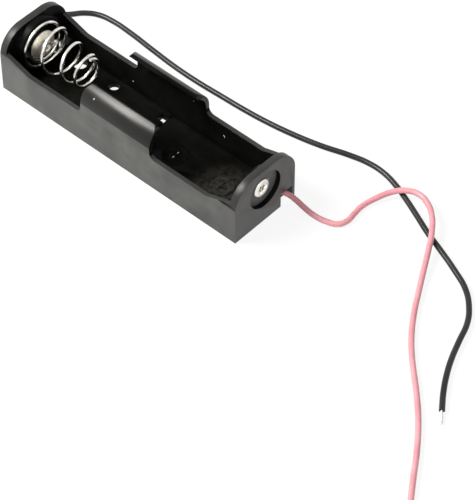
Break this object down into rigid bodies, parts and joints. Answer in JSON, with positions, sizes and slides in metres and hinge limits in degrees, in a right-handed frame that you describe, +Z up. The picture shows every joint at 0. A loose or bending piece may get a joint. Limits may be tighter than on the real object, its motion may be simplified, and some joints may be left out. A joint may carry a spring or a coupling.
{
  "type": "cylindrical cell holder",
  "caption": "Open moulded holder for a cylindrical cell, with curled retaining clips, a conical contact spring, riveted end contacts and loose wire leads.",
  "frame": {"origin": "middle of the tray's underside, on the plane that it rests on", "axes": "+X along the cell from the spring end to the positive contact, +Y across the tray towards the lead outlets, +Z up out of the open mouth"},
  "size_m": [0.1345, 0.0805, 0.0136],
  "materials": {
    "black_moulding": "matte outside, glossy inside",
    "spring_wire": "bright nickel plate",
    "plated_metal": "bright nickel plate",
    "red_insulation": "soft gloss",
    "black_insulation": "soft gloss",
    "tinned_wire": "tinned"
  },
  "bodies": {
    "holder": {"tray": "black_moulding", "negative_rivet": "plated_metal", "negative_washer": "plated_metal", "positive_rivet": "plated_metal", "positive_washer": "plated_metal", "red_lead": "red_insulation", "red_lead_core": "tinned_wire", "red_lead_tip": "tinned_wire", "black_lead": "black_insulation", "black_lead_core": "tinned_wire", "black_lead_tip": "tinned_wire"},
    "contact_spring": {"negative_spring": "spring_wire"}
  },
  "joints": [
    {"name": "spring_compression", "type": "slide", "parent": "holder", "child": "contact_spring", "axis": [-1, 0, 0], "range_m": [0, 0.01], "stiffness_N_per_m": 300, "deforming": ["negative_spring"]}
  ]
}
